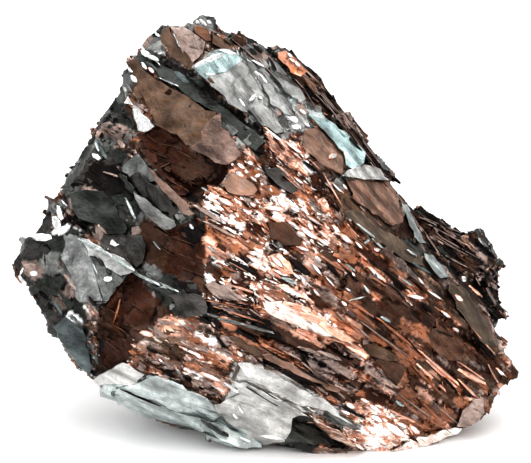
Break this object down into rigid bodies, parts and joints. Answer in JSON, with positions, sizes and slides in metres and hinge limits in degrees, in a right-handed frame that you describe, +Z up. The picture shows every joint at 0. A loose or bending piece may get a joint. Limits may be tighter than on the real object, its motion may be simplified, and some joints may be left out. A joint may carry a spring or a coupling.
{
  "type": "tellurium chunk",
  "caption": "Rough lump of native tellurium: a steep wedge of bladed metallic crystals grown side by side, with a flat cleavage face to rest on.",
  "frame": {"origin": "a point of the flat cleavage face that the lump rests on, below the middle of the broad side", "axes": "+Z up from the rest face; +X to the right along the broad side; +Y away from the broad side, towards the back"},
  "size_m": [0.0511, 0.0288, 0.0394],
  "materials": {
    "tellurium": "metallic cleavage faces, from bright silver grey to copper brown tarnish, striated along the columns"
  },
  "bodies": {
    "root": {"tellurium_chunk": "tellurium"}
  },
  "joints": []
}
